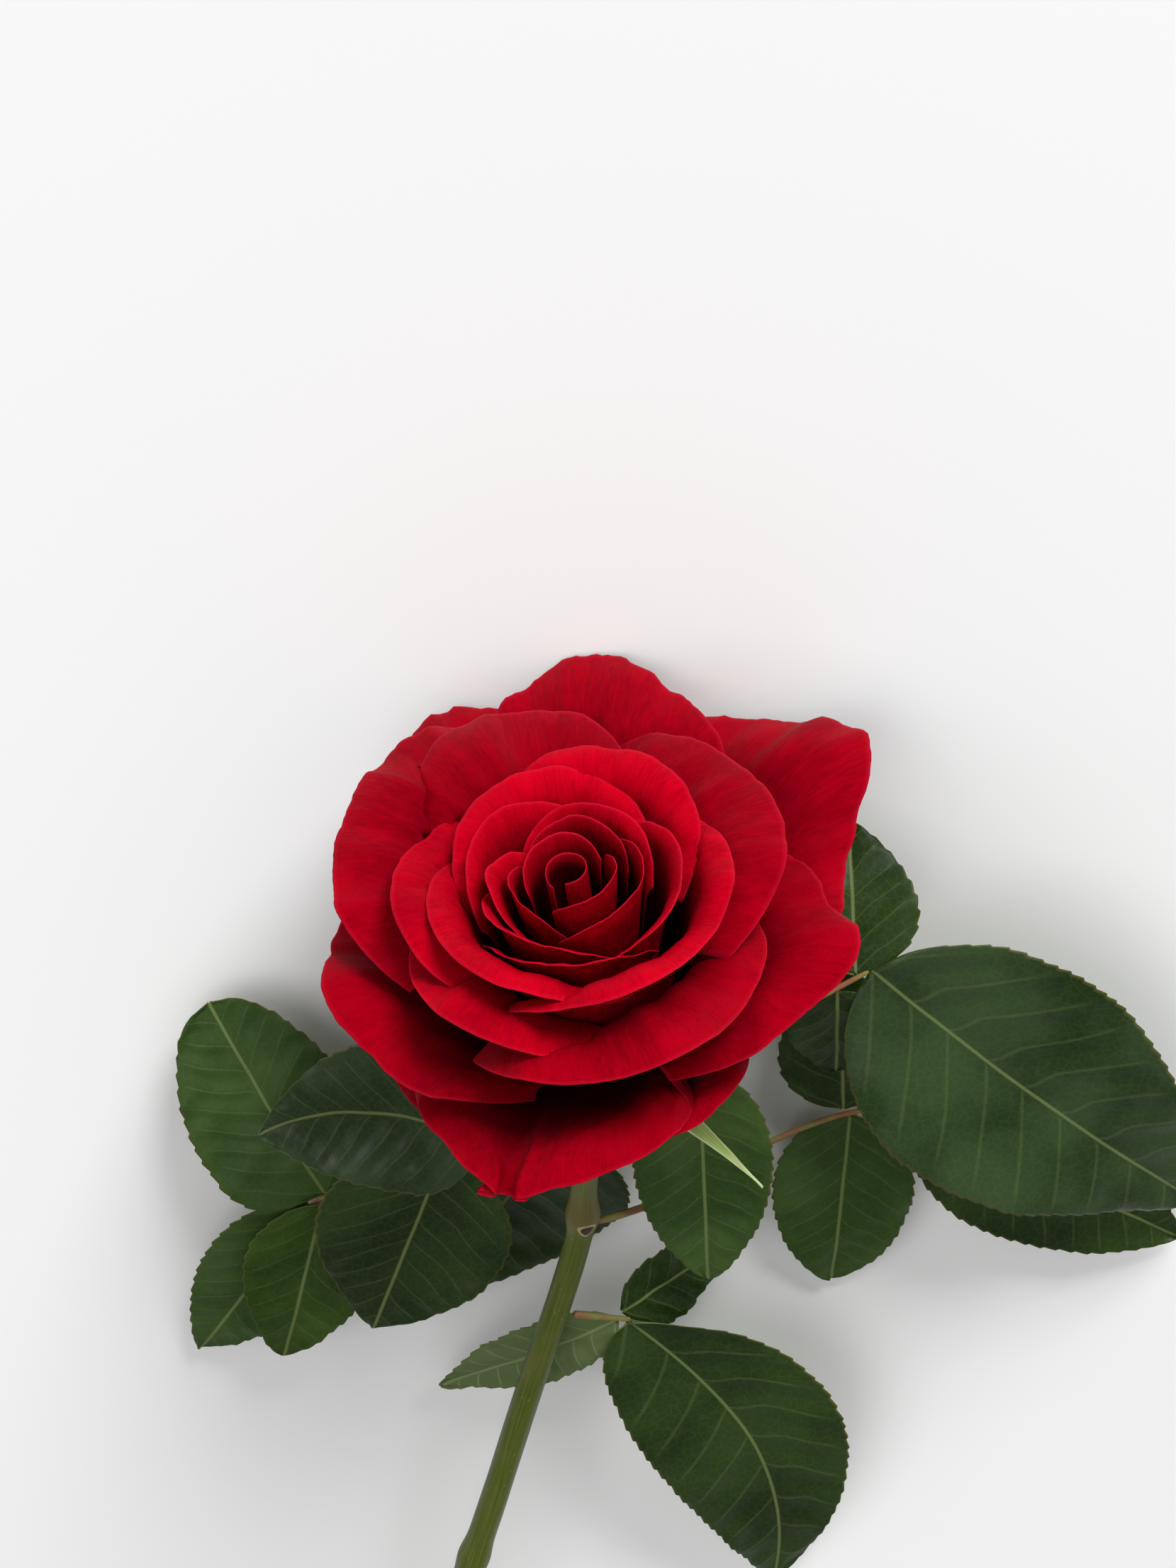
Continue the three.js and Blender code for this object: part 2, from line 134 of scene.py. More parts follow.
# Petals from the heart outwards: direction and half width in degrees, belly and rim radius, height
# of the rim, how far the corners fall, how much the middle of the rim is drawn to a point, how far one
# side stands outside the other, and how much both sides close in.
PETAL_FIELDS = "direction half belly rim height corners point lean cup".split()
PETALS = [
    (60, 168, 3.4, 3.6, 54, 0.02, 0, 0.9, 0),
    (118, 84, 6.2, 8, 55, 0.06, 0, 0.5, 0),
    (322, 80, 6.6, 8.6, 54, 0.06, 0, 0.4, 0),
    (200, 62, 8.6, 11.4, 54.5, 0.1, 0.02, 0.4, 0.04),
    (80, 62, 9.4, 12.4, 54.5, 0.1, 0.01, -0.4, 0.06),
    (338, 82, 10.6, 13.6, 53.5, 0.1, 0, 0.4, 0),
    (178, 60, 11.6, 15.2, 54, 0.12, 0.04, 0.3, 0.04),
    (66, 64, 12.6, 16.6, 53.5, 0.12, 0, -0.4, 0.04),
    (232, 66, 13.6, 17.4, 52.5, 0.14, 0, 0.4, 0.02),
    (132, 62, 15, 20.8, 53.5, 0.14, 0.02, 0.4, 0.06),
    (352, 78, 15.6, 21, 52, 0.14, 0, 0.3, 0.06),
    (262, 60, 16.8, 20.6, 51, 0.14, 0, 0.3, 0),
    (108, 70, 18, 26.8, 53, 0.16, 0.01, 0.4, 0.14),
    (216, 78, 19.4, 27, 50.5, 0.14, 0, 0.2, 0),
    (66, 66, 20.2, 31.4, 52.5, 0.18, 0, 1.5, 0.18),
    (322, 84, 21.4, 29.4, 49.5, 0.16, -0.03, 0.4, 0),
    (170, 64, 22.6, 33.4, 49, 0.2, 0.02, 0, 0.12),
    (224, 58, 24, 34.4, 43.5, 0.2, 0.02, 0.3, 0.04),
    (108, 52, 24.2, 45.4, 50, 0.2, 0, 1.5, 0.2),
    (34, 56, 25.6, 42.6, 48, 0.2, 0, 2.2, 0.06),
    (298, 70, 27.4, 40, 41, 0.2, 0.03, 0, 0.02),
    (148, 48, 28, 48, 44, 0.2, 0, -1.5, 0.08),
    (192, 55, 29.2, 49, 32, 0.2, 0.03, 0, 0.12),
    (252, 58, 30.2, 53, 25, 0.24, 0.1, 0, 0.1),
    (351, 50, 30.6, 51, 33, 0.2, 0.08, 0, 0.14),
    (86, 46, 32, 61, 47, 0.2, 0.03, 0, 0.12),
    (38, 45, 36.4, 69, 37, 0.16, 0.08, 0, 0.1),
    (112, 30, 37, 60, 40, 0.2, 0.02, 0, 0.1),
    (300, 44, 30, 37, 16, 0.2, 0.03, 0, 0.08),
    (206, 42, 32, 40, 16, 0.2, 0.03, 0, 0.08),
]

# The rings of petals, up to a count: where the lip starts as a share of the petal, how many degrees
# it rolls outwards, whether it turns late (over 1) or at once (under 1), how far its edge ripples, the
# share of the petal below its rim over which painted shade darkens it, and how bright its red is.
RING_FIELDS = "up_to lip roll turn ripple dusk tone".split()
RINGS = [
    (1, 0.95, 2, 1.6, 0.1, 0.06, 0.5),
    (6, 0.95, 8, 1.6, 0.25, 0.16, 0.75),
    (12, 0.92, 38, 1.3, 0.4, 0.24, 0.9),
    (16, 0.87, 76, 1.0, 0.8, 0.38, 1.0),
    (18, 0.72, 68, 0.6, 1.0, 0.5, 0.82),
    (22, 0.72, 68, 0.6, 1.0, 0.5, 0.44),
    (30, 0.76, 52, 0.8, 1.3, 0.66, 0.4),
]

# Corners of the outer rims: a petal's number, then places across it and how many millimetres the rim
# stands further out there, with straight stretches between.
EDGES = {
    16: ((-1, 0), (0.12, 0), (0.17, -2.2), (0.27, -1.6), (0.36, 0.4), (0.5, 0.6), (1, 0)),
    18: ((-1, 0), (-0.2, -0.8), (0.28, 0.6), (0.6, -1), (1, 0)),
    21: ((-1, 0), (-0.5, -0.6), (-0.3, -1.2), (-0.07, 1.8), (0.2, -1), (0.45, -2.4), (1, 0)),
    22: ((-1, 5), (-0.6, 7.5), (-0.35, 5.5), (-0.22, 4.6), (0.3, 0), (1, 0)),
    23: ((-1, 1), (-0.52, 3.1), (-0.3, 0.2), (-0.12, 0.4), (0.25, -4.2), (0.62, -3.2), (0.8, -8),
         (1, -12)),
    24: ((-1, -1), (-0.85, 0.6), (-0.45, -2.6), (-0.13, 0.8), (-0.06, -2), (0.02, 0.6), (0.5, -1.6),
         (1, -0.6)),
    25: ((-1, -4), (-0.75, -3.2), (-0.4, -3), (-0.07, 1.4), (0.3, 0), (0.7, 5), (1, 9)),
    26: ((-1, -2), (-0.7, -0.6), (-0.4, -2), (-0.15, 0.6), (0, -0.8), (0.12, 0), (0.38, -5), (1, -6)),
    27: ((-1, -7), (-0.8, -6.6), (-0.55, -8), (-0.3, -5), (-0.05, 1.8), (0.3, 0.4), (0.6, 4), (1, 8)),
}

# Creases down a petal: its number, where across it, how wide, and how deep towards the outside.
CREASES = {24: (-0.1, 0.34, 9.0), 23: (0.2, 0.3, 2.4), 21: (0.1, 0.2, -1.6), 25: (0.05, 0.25, -3.0)}

# Sepals: direction round the bloom, how far the tip reaches out, and how far it hangs.
SEPALS = [(319, 30, 12), (31, 17, 19), (103, 19, 17), (175, 15, 22), (247, 8, 17)]

# The stem's bends and its end, from the point on the table below the foot of the petals, and how far
# it bows to the side on its way there. Its swollen nodes, as distance down the stem and swelling. Its
# prickles, as distance down the stem, direction round it and height.
STEM_BENDS = [(7.4, -31, 33.6), (11.4, -49, 28.8), (13.6, -95, 25), (15.4, -142, 21.4)]
STEM_END = (6, -STEM["length"], STEM["end_radius"])
STEM_BOW = (1.5, 0, 0)
STEM_NODES = [(33, 0.9), (128, 0.6), (214, 0.6), (300, 0.6)]
PRICKLES = [
    (146, 10, 5.2), (171, 165, 5.6), (196, 60, 5.0), (238, 20, 5.8),
    (262, 150, 5.4), (287, 95, 5.2), (326, 0, 5.6), (352, 120, 5.4),
]


# ---------- small helpers ----------

def unit(vector):
    """A vector, or a grid of them, made 1 long."""
    return vector / np.linalg.norm(vector, axis=-1, keepdims=True)


def smooth(x):
    """0 up to 0 and 1 from 1, with a soft step between."""
    x = np.clip(x, 0, 1)
    return x * x * (3 - 2 * x)


def mix(a, b, share):
    """From a to b as share goes from 0 to 1."""
    return a + (b - a) * share


def bezier(a, b, c, d, t):
    """A smooth way from a to d that leaves towards b and arrives from c."""
    s = 1 - t
    return s * s * s * a + 3 * s * s * t * b + 3 * s * t * t * c + t * t * t * d


def wobble(x, seed):
    """A smooth random wave along x, from about -1 to 1, the same for the same seed."""
    waves, spread = 4, 1.7
    draw = np.random.default_rng(seed)
    total = 0
    for k in range(waves):
        wave = np.sin(x * spread ** k * draw.uniform(0.8, 1.2) + draw.uniform(0, 6.28))
        total = total + wave / (1 + 0.6 * k)
    return total / 2.2


def corners_of(node):
    """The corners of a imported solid, in millimetres."""
    points = np.array([v.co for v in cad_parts[node].data.vertices]) / MM
    return np.unique(points.round(3), axis=0)


def piece(name, points, faces, finish, slot, stands_for=(), **paint):
    """A smooth mesh in the shared frame, from millimetres. Each paint is one value per point."""
    mesh = bpy.data.meshes.new(name)
    mesh.from_pydata((np.asarray(points) * MM).tolist(), [], faces)
    mesh.polygons.foreach_set("use_smooth", [True] * len(mesh.polygons))
    for title, values in paint.items():
        layer = mesh.attributes.new(title, "FLOAT", "POINT")
        layer.data.foreach_set("value", np.asarray(values, np.float32).ravel())
    mesh.materials.append(finish)
    made = bpy.data.objects.new(name, mesh)
    bpy.context.scene.collection.objects.link(made)
    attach(made, "root")
    if stands_for:
        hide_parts(*stands_for)
    return made


def grid_normals(points):
    """The directions that stand square on a grid of points."""
    along = np.gradient(points, axis=0)
    across = np.gradient(points, axis=1)
    return unit(np.cross(across, along) + 1e-12)


def closed_sheet(points, thickness):
    """Both faces of a grid of points and the wall between them, as points and faces."""
    rows, columns = points.shape[:2]
    normals = grid_normals(points)
    half = normals * thickness[..., None] / 2
    both = np.concatenate([(points + half).reshape(-1, 3), (points - half).reshape(-1, 3)])
    index = np.arange(rows * columns).reshape(rows, columns)
    under = index + rows * columns

    def quads(a, b, c, d):
        return np.stack([x.ravel() for x in (a, b, c, d)], 1).tolist()

    faces = quads(index[:-1, :-1], index[:-1, 1:], index[1:, 1:], index[1:, :-1])
    faces += quads(under[:-1, :-1], under[1:, :-1], under[1:, 1:], under[:-1, 1:])
    faces += quads(index[1:, 0], under[1:, 0], under[:-1, 0], index[:-1, 0])
    faces += quads(index[:-1, -1], under[:-1, -1], under[1:, -1], index[1:, -1])
    faces += quads(index[0, :-1], under[0, :-1], under[0, 1:], index[0, 1:])
    faces += quads(index[-1, 1:], under[-1, 1:], under[-1, :-1], index[-1, :-1])
    return both, faces


def on_both(values):
    """Values for both faces of a sheet."""
    return np.concatenate([values.ravel(), values.ravel()])


def round_angles(count):
    """Angles that share out a full turn."""
    return np.arange(count) / count * 2 * math.pi


def rod(centres, sides, radius_at):
    """Rings of points round a line; radius_at(i, angle) gives each ring's radii."""
    tangents = unit(np.gradient(centres, axis=0))
    normal = np.array((0.0, 0.0, 1.0))
    angles = round_angles(sides)
    rings = []
    for i, (centre, tangent) in enumerate(zip(centres, tangents)):
        normal = unit(normal - tangent * (normal @ tangent))
        side = np.cross(normal, tangent)
        radii = np.broadcast_to(radius_at(i, angles), angles.shape)
        spokes = np.cos(angles)[:, None] * side + np.sin(angles)[:, None] * normal
        rings.append(centre + radii[:, None] * spokes)
    return np.array(rings)


def rod_faces(count, sides, cap_end=True):
    """The faces between count rings of points, with a cap at the start and, if wanted, at the end."""
    faces = []
    for r in range(count - 1):
        for s in range(sides):
            n = (s + 1) % sides
            faces.append((r * sides + s, r * sides + n, (r + 1) * sides + n, (r + 1) * sides + s))
    faces.append(tuple(reversed(range(sides))))
    if cap_end:
        faces.append(tuple((count - 1) * sides + s for s in range(sides)))
    return faces


# ---------- finishes ----------

def shade(red, green, blue):
    """A colour given as 0 to 255 on a screen."""
    values = [c / 255 for c in (red, green, blue)]
    return (*[v / 12.92 if v <= 0.04045 else ((v + 0.055) / 1.055) ** 2.4 for v in values], 1)


class Wave:
    """One socket of a finish, which sums can be written with. Each sum adds a Math node."""

    def __init__(self, tree, socket=None):
        self.tree, self.socket = tree, socket

    def node(self, kind, settings=None, sockets=None, output=0):
        """Adds a node, with its settings first and then the values or links of its sockets."""
        made = self.tree.nodes.new(kind)
        for name, value in (settings or {}).items():
            setattr(made, name, value)
        for name, value in (sockets or {}).items():
            if isinstance(value, Wave):
                self.tree.links.new(value.socket, made.inputs[name])
            else:
                made.inputs[name].default_value = value
        return Wave(self.tree, made.outputs[output])

    def math(self, operation, a, b=0.0):
        """A sum of two numbers or waves."""
        return self.node("ShaderNodeMath", {"operation": operation}, {0: a, 1: b})

    def __add__(self, other):
        return self.math("ADD", self, other)

    def __radd__(self, other):
        return self.math("ADD", other, self)

    def __sub__(self, other):
        return self.math("SUBTRACT", self, other)

    def __rsub__(self, other):
        return self.math("SUBTRACT", other, self)

    def __mul__(self, other):
        return self.math("MULTIPLY", self, other)

    def __rmul__(self, other):
        return self.math("MULTIPLY", other, self)

    def __abs__(self):
        return self.math("ABSOLUTE", self)

    def paint(self, title):
        """What piece() painted on the points under a title."""
        return self.node("ShaderNodeAttribute", {"attribute_name": title}, output="Fac")

    def place(self):
        """Where a point is in the shared frame, in metres."""
        return self.node("ShaderNodeTexCoord", output="Object")

    def vector(self, x, y, z):
        return self.node("ShaderNodeCombineXYZ", None, {0: x, 1: y, 2: z})

    def stretched(self, x, y, z):
        return self.node("ShaderNodeVectorMath", {"operation": "MULTIPLY"}, {0: self, 1: (x, y, z)})

    def noise(self, scale, detail=2.0, roughness=0.5):
        return self.node("ShaderNodeTexNoise", None,
                         {"Vector": self, "Scale": scale, "Detail": detail, "Roughness": roughness})

    def cells(self, scale, feature="DISTANCE_TO_EDGE"):
        return self.node("ShaderNodeTexVoronoi", {"feature": feature}, {"Vector": self, "Scale": scale},
                         "Distance")

    def between(self, low, high):
        """0 up to low and 1 from high, with a soft step between; high may be the smaller."""
        return self.node("ShaderNodeMapRange", {"interpolation_type": "SMOOTHSTEP"},
                         {"Value": self, "From Min": low, "From Max": high})

    def blend(self, first, second):
        """The first colour where this is 0 and the second where it is 1."""
        return self.node("ShaderNodeMix", {"data_type": "RGBA"}, {0: self, 6: first, 7: second}, 2)

    def bump(self, height_mm, strength):
        return self.node("ShaderNodeBump", None,
                         {"Height": self, "Distance": height_mm * MM, "Strength": strength}, "Normal")


def finish(name, looks, **even):
    """A material: looks(start) gives what varies, by socket, and even holds the uniform values."""
    made = bpy.data.materials.new(name)
    made.use_nodes = True
    tree = made.node_tree
    surface = tree.nodes["Principled BSDF"]
    for title, value in even.items():
        surface.inputs[title.replace("_", " ").title().replace("Ior", "IOR")].default_value = value
    for title, wave in looks(Wave(tree)).items():
        tree.links.new(wave.socket, surface.inputs[title])
    return made


PETAL_COLOURS = {
    "dark": shade(118, 0, 12),
    "bright": shade(178, 0, 22),
    "inside": shade(190, 0, 28),
    "outer_ring": shade(60, 0, 9),
    # hollow is painted shade: the near-black red laid down into the bloom between the petals
    "hollow": shade(40, 0, 4),
    # hem is a painted highlight: the pale pink line where light shines through a petal's thin edge
    "hem": shade(216, 30, 60),
    "heel": shade(226, 196, 120),
}


def petal_looks(start):
    """Red velvet, streaked and pale at its foot; painted shade in its hollow, painted highlight on its
    rim.
    """
    across, rise, inner, hem = map(start.paint, ("across", "rise", "inner", "hem"))
    deep, tone = map(start.paint, ("deep", "tone"))
    grain = start.vector(across, rise, inner)
    streaks = 0.5 * grain.stretched(420, 12, 1).noise(1.0, 4, 0.65)
    streaks = streaks + 0.5 * grain.stretched(1500, 22, 1).noise(1.0, 3, 0.6)
    clouds = start.place().noise(60, 2)
    crinkle = start.place().noise(330, 3, 0.6)
    fine = start.place().noise(2600, 2, 0.6)
    patches = (0.4 * clouds + 0.6 * streaks).between(0.36, 0.62)
    body = patches.blend(PETAL_COLOURS["dark"], PETAL_COLOURS["bright"])
    body = (inner * 0.3).blend(body, PETAL_COLOURS["inside"])
    body = (0.6 - 0.6 * tone).blend(body, PETAL_COLOURS["outer_ring"])
    # painted shade, darker down towards the foot and stronger on the inner face
    body = (deep * (0.2 + 0.75 * inner)).blend(body, PETAL_COLOURS["hollow"])
    # painted highlight along the rim and the sides
    body = (hem * 0.35).blend(body, PETAL_COLOURS["hem"])
    body = rise.between(0.09, 0.02).blend(body, PETAL_COLOURS["heel"])
    relief = 0.55 * streaks + 0.3 * crinkle + 0.15 * fine
    return {
        "Base Color": body,
        "Roughness": 0.46 + 0.2 * clouds,
        "Normal": relief.bump(0.6, 0.8),
    }


LEAF_COLOURS = {
    "underside": shade(92, 108, 66),
    "vein": shade(118, 130, 76),
    "underside_vein": shade(140, 152, 104),
    "edge": shade(92, 84, 34),
}


def leaf_looks(start, upper, glow):
    """upper is the blade's two greens, and glow how far the blade is from matt."""
    across, rank, margin, under = map(start.paint, ("across", "rank", "margin", "under"))
    reach = abs(across)
    from_vein = abs(rank - rank.math("ROUND", rank))
    side_vein = from_vein.between(0.07, 0.01) * reach.between(0.2, 0.8) * margin.between(0.98, 0.7)
    midrib = reach.between(0.52, 0.15)
    net = start.place().cells(560).between(0.12, 0.0)
    clouds = start.place().noise(42, 3)
    fine = start.place().noise(900, 2)
    blade = clouds.between(0.35, 0.65).blend(upper[0], upper[1])
    blade = (side_vein * 0.13 + net * 0.05).blend(blade, LEAF_COLOURS["vein"])
    blade = (midrib * 0.62).blend(blade, LEAF_COLOURS["vein"])
    blade = (margin.between(0.965, 1.0) * 0.6).blend(blade, LEAF_COLOURS["edge"])
    back = side_vein * 0.4 + midrib * 0.6
    back = back.blend(LEAF_COLOURS["underside"], LEAF_COLOURS["underside_vein"])
    hollow = 0.5 * side_vein + 0.15 * net + 0.25 * fine
    return {
        "Base Color": under.between(0.45, 0.55).blend(blade, back),
        "Roughness": (0.58 - 0.2 * glow) + 0.14 * clouds + 0.1 * under,
        "Coat Weight": (1 - under) * (0.6 * glow * glow) * clouds.between(0.25, 0.6),
        "Normal": (1 - hollow).bump(0.2, 0.6),
    }


STEM_COLOURS = {
    "dark": shade(58, 74, 8),
    "light": shade(84, 94, 24),
    "patch": shade(104, 96, 48),
    "top": shade(126, 122, 82),
    "knuckle": shade(104, 84, 46),
    "dot": shade(146, 144, 92),
    "prickle": shade(142, 82, 52),
    "prickle_tip": shade(112, 44, 34),
    "scar_rim": shade(158, 148, 92),
    "scar": shade(48, 26, 22),
    "flesh": shade(150, 172, 96),
    "pith": shade(226, 226, 196),
    "skin_edge": shade(98, 112, 52),
}


def stem_looks(start):
    """Green bark, browner at the top node, with red prickles, a leaf scar and a pale cut face."""
    along, around, scar, cut = map(start.paint, ("along", "around", "scar", "cut"))
    prickle = start.paint("prickle")
    streaks = start.vector(along * 0.02, around * 2.2, 0.0).noise(3.0, 4, 0.6)
    clouds = start.place().noise(90, 3)
    dots = start.place().cells(420, "F1").between(0.16, 0.08)
    knuckle = abs(along - STEM_NODES[0][0] + 2.0).between(7.0, 1.5)
    bark = streaks.between(0.32, 0.68).blend(STEM_COLOURS["dark"], STEM_COLOURS["light"])
    for share, colour in (
        (clouds.between(0.45, 0.75) * 0.35, "patch"),
        (along.between(44, 4) * 0.5, "top"),
        (knuckle * 0.55, "knuckle"),
        (dots * 0.2, "dot"),
        (prickle.between(0.02, 0.5), "prickle"),
        (prickle.between(0.5, 1.0), "prickle_tip"),
        (scar.between(0.25, 0.5), "scar_rim"),
        (scar.between(0.6, 0.8), "scar"),
    ):
        bark = share.blend(bark, STEM_COLOURS[colour])
    flesh = cut.between(0.62, 0.56).blend(STEM_COLOURS["flesh"], STEM_COLOURS["pith"])
    flesh = cut.between(0.94, 0.98).blend(flesh, STEM_COLOURS["skin_edge"])
    return {
        "Base Color": cut.between(0.0, 0.002).blend(bark, flesh),
        "Roughness": 0.34 + 0.16 * clouds,
        "Normal": (0.6 * streaks + 0.4 * start.place().noise(1500, 2)).bump(0.14, 0.4),
    }


GREEN_COLOURS = {
    "dark": shade(112, 134, 58),
    "light": shade(140, 158, 84),
    "edge": shade(196, 206, 160),
}


def green_looks(start):
    """Soft green with fine lengthwise streaks, which pales towards an edge."""
    across, rise, margin = map(start.paint, ("across", "rise", "margin"))
    streaks = start.vector(across * 3.2, rise * 0.08, 0.0).noise(1.0, 3, 0.6)
    clouds = start.place().noise(120, 2)
    patches = (0.6 * streaks + 0.4 * clouds).between(0.35, 0.65)
    body = patches.blend(GREEN_COLOURS["dark"], GREEN_COLOURS["light"])
    body = (margin.between(0.7, 1.0) * 0.8).blend(body, GREEN_COLOURS["edge"])
    return {
        "Base Color": body,
        "Roughness": 0.5 + 0.15 * clouds,
        "Normal": streaks.bump(0.2, 0.5),
    }


STALK_COLOURS = {"green": shade(112, 116, 52), "ruddy": shade(132, 82, 50)}


def stalk_looks(start):
    """Green, ruddy in patches."""
    clouds = start.place().noise(160, 3)
    fine = start.place().noise(1300, 2)
    return {
        "Base Color": clouds.between(0.35, 0.62).blend(STALK_COLOURS["green"], STALK_COLOURS["ruddy"]),
        "Roughness": 0.45 + 0.15 * clouds,
        "Normal": fine.bump(0.15, 0.5),
    }


TABLE_COLOURS = {"dull": shade(240, 240, 240), "bright": shade(243, 243, 243)}


def table_looks(start):
    """A plain pale surface, faintly clouded."""
    fine = start.place().noise(400, 2)
    clouds = start.place().noise(2, 1)
    return {
        "Base Color": clouds.between(0.2, 0.8).blend(TABLE_COLOURS["dull"], TABLE_COLOURS["bright"]),
        "Roughness": 0.8 + 0.05 * fine,
    }


velvet = finish("petal_velvet", petal_looks, sheen_weight=0.04, sheen_roughness=0.4,
                sheen_tint=(1, 0.0, 0.04, 1), ior=1.15, specular_tint=(1, 0.02, 0.06, 1))


def leaf_finish(name, dark, light, glow):
    def looks(start):
        return leaf_looks(start, (dark, light), glow)

    return finish("leaf_" + name, looks, coat_roughness=0.3, specular_ior_level=0.13)


LEAF_FINISHES = {
    "matt": leaf_finish("matt", shade(40, 64, 20), shade(58, 82, 34), glow=0.35),
    "dark": leaf_finish("dark", shade(22, 42, 6), shade(38, 60, 14), glow=0.5),
    "glossy": leaf_finish("glossy", shade(26, 48, 12), shade(42, 66, 24), glow=1.0),
    "green": leaf_finish("green", shade(34, 58, 4), shade(54, 80, 14), glow=0.4),
}
green_skin = finish("green_skin", green_looks, specular_ior_level=0.4)
stem_bark = finish("stem_bark", stem_looks, specular_ior_level=0.25)
stalk_skin = finish("stalk_skin", stalk_looks, specular_ior_level=0.45)
table_top = finish("table_top", table_looks)


# ---------- bloom ----------

heading, tilt = math.radians(BLOOM["heading"]), math.radians(BLOOM["tilt"])
level = math.cos(tilt)
AXIS = np.array([-math.sin(heading) * level, math.cos(heading) * level, math.sin(tilt)])
RIGHT = np.array([math.cos(heading), math.sin(heading), 0])
DOWNWARD = np.cross(AXIS, RIGHT)
hip_corners = corners_of("hip")
FOOT = hip_corners[np.argmax(hip_corners @ AXIS)] - AXIS * HIP["peak"]


def in_bloom(x, y, z):
    """Points of the bloom's own frame, in which the petals rise along z, in the shared frame."""
    return FOOT + x[..., None] * RIGHT + y[..., None] * DOWNWARD + z[..., None] * AXIS


def hip_top(radius):
    """Height of the hip's domed top at a radius."""
    return HIP["peak"] * (1 - (radius / HIP["radius"]) ** 2)


def petal_surface(petal, order, u, v):
    """A petal's middle surface; u goes from side to side, -1 to 1, and v from foot to rim, 0 to 1."""
    foot = PETAL["foot_radius"] + PETAL["foot_step"] * order
    foot_height = hip_top(foot) + GAP + PETAL["foot_gap"]
    belly, rim, height = petal["belly"], petal["rim"], petal["height"]
    size = rim / PETAL["usual_rim"]
    drawn = 1 - np.exp(-((u / 0.25) ** 2))
    ragged = (0.008 * wobble(u * 9, 40 + order) + 0.003 * wobble(u * 30, 800 + order)) * size
    if order + 1 in EDGES:
        reach = math.hypot(3 * (rim - belly), 1.2 * height)
        ragged = ragged + np.interp(u, *zip(*EDGES[order + 1])) / reach
    t = v * (1 - petal["point"] * drawn - petal["corners"] * abs(u) ** 3 + ragged)
    closing = 1 - petal["cup"] * u * u * v * v
    radius = bezier(foot, mix(foot, belly, 0.62), belly, rim, t) * closing + petal["lean"] * u * v
    up = bezier(foot_height, mix(foot_height, height, 0.12), height * 0.6, height, t)
    spread = PETAL["claw"] + (1 - PETAL["claw"]) * smooth(v / 0.5)
    angle = np.radians(petal["direction"] + u * petal["half"] * spread)
    return in_bloom(radius * np.cos(angle), radius * np.sin(angle), up)


def lip_rolled(ring, order, u, v, points):
    """Rolls the lip outwards and shifts the wall below it, so that the rim stays where it was."""
    start = int(np.searchsorted(v[:, 0], ring["lip"]))
    steps = np.diff(points, axis=0)
    lengths = np.linalg.norm(steps, axis=2)
    tangent = unit(steps[start - 1])
    outward = unit(grid_normals(points)[start])
    run = np.cumsum(lengths[start:], axis=0)
    share = run / run[-1]
    roll = math.radians(ring["roll"]) * (1 + 0.2 * wobble(u[0] * 5, 100 + order))
    angle = roll * share ** ring["turn"]
    step = np.cos(angle)[..., None] * tangent + np.sin(angle)[..., None] * outward
    step = step * lengths[start:, :, None]
    rolled = points.copy()
    rolled[start + 1:] = points[start] + np.cumsum(step, axis=0)
    shift = points[-1] - rolled[-1]
    return rolled + shift[None] * smooth(v / ring["lip"])[..., None] ** 2


def petal_detail(petal, ring, order, u, v, points):
    """The rippled rim and the faint folds, as moves along the surface's normal."""
    out = grid_normals(points)
    size = petal["rim"] / PETAL["usual_rim"]
    move = ring["ripple"] * wobble(u * 4.2, 200 + order) * smooth((v - 0.6) / 0.4)
    move = move + PETAL["streak"] * size * wobble(u * 19, 300 + order) * smooth((v - 0.2) / 0.5)
    move = move + PETAL["swell"] * size * wobble(u * 3.6 + v * 7, 400 + order) * smooth(v / 0.5)
    if order + 1 in CREASES:
        place, width, depth = CREASES[order + 1]
        move = move + depth * np.exp(-abs(u - place) / width) * smooth((v - 0.3) / 0.7)
    return points + out * move[..., None]


class Nest:
    """The petals made so far, which the next one has to stay outside of."""

    def __init__(self):
        self.points, self.faces = [], []
        self.count = 0

    def add(self, points, faces):
        self.points += points.tolist()
        self.faces += [tuple(k + self.count for k in face) for face in faces]
        self.count += len(points)

    def pushed_out(self, points, v):
        """The grid of points, moved away from the axis where it would cut a petal inside it."""
        if not self.count:
            return points
        tree = BVHTree.FromPolygons(self.points, self.faces)
        far = 120.0
        root_share = 0.3
        smoothings = 6
        off = points - FOOT
        rise = off @ AXIS
        spoke = off - rise[..., None] * AXIS
        radius = np.linalg.norm(spoke, axis=-1)
        spoke = spoke / radius[..., None]
        push = np.zeros(radius.shape)
        for i, j in zip(*np.nonzero(v > root_share)):
            start = FOOT + AXIS * rise[i, j] + spoke[i, j] * far
            distance = tree.ray_cast(start, -spoke[i, j], far)[3]
            if distance is not None:
                push[i, j] = max(0.0, far - distance + PETAL["clear"] - radius[i, j])
        for _ in range(smoothings):
            wide = np.pad(push, 1, mode="edge")
            soft = (wide[:-2, 1:-1] + wide[2:, 1:-1] + wide[1:-1, :-2] + wide[1:-1, 2:]) / 4
            push = np.maximum(push, soft)
        return points + spoke * push[..., None]


nest = Nest()


